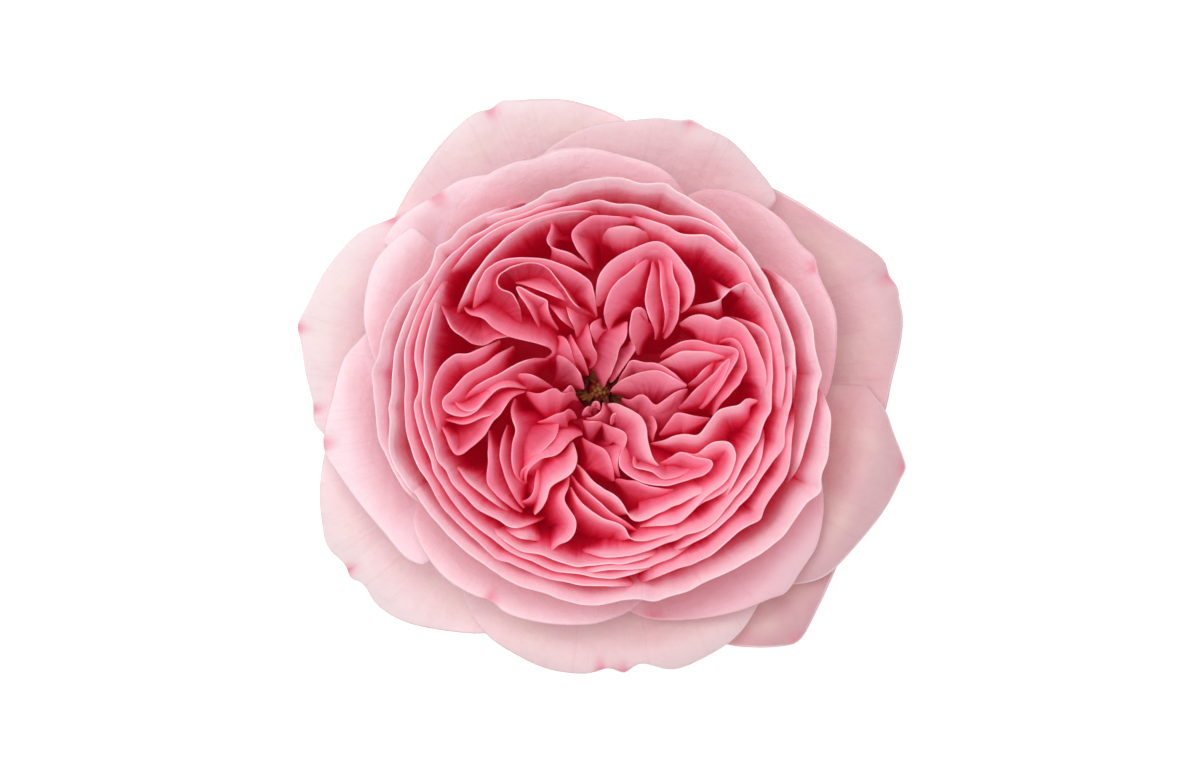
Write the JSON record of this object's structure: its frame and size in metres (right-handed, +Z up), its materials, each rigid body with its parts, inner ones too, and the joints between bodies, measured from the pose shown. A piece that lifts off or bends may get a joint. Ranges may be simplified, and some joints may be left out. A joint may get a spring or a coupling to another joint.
{
  "type": "garden rose",
  "caption": "Full pink garden rose picked under its hip and laid face up: a cup of tightly folded petals in quarters, inside broad open outer petals.",
  "frame": {"origin": "under the middle of the bloom's outline, on the surface that the bloom lies on", "axes": "+Z up out of the bloom's face, +X to the right and +Y to the top of the bloom as the picture shows it"},
  "size_m": [0.1082, 0.102, 0.0512],
  "materials": {
    "calyx": "matt green plant skin",
    "guard_petal": "soft satin petal, palest pink",
    "outer_petal": "soft satin petal, light pink",
    "heart_petal": "soft satin petal, pale lip and deep pink hollow",
    "stamen": "dry brown pollen",
    "style": "matt olive plant skin"
  },
  "bodies": {
    "root": {"calyx": "calyx", "guard_petals": "guard_petal", "outer_petals": "outer_petal", "heart_petals": "heart_petal", "stamens": "stamen", "styles": "style"}
  },
  "joints": []
}
